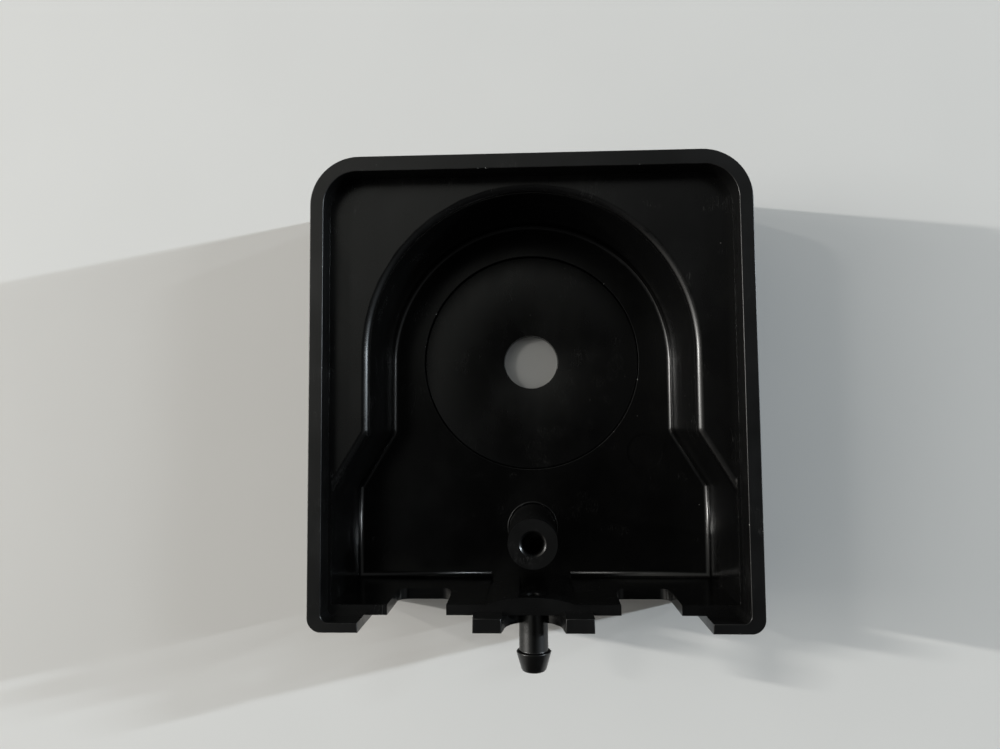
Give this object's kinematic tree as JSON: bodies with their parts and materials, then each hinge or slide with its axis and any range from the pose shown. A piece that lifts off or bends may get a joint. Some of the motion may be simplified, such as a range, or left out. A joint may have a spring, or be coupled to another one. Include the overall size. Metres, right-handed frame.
{
  "type": "peristaltic pump head housing",
  "caption": "Open moulded housing of a peristaltic pump head: round raceway, flared lower chamber, side-by-side tube ports, cover-screw pillar and barbed drain spigot.",
  "frame": {"origin": "drive shaft's axis in the plane of the rear face", "axes": "+Z along the shaft axis, out of the open side; +Y from the tube ports to the closed end; +X to the right seen from the open side"},
  "size_m": [0.07, 0.0826, 0.0275],
  "materials": {
    "housing_plastic": "semi-gloss moulded black, with a finer matt rim",
    "wear_disc_plastic": "satin black",
    "spigot_plastic": "semi-gloss moulded black",
    "insert_brass": "turned and knurled"
  },
  "bodies": {
    "root": {"housing": "housing_plastic", "rotor_wear_disc": "wear_disc_plastic", "drain_spigot": "spigot_plastic", "rear_screw_inserts": "insert_brass"}
  },
  "joints": []
}
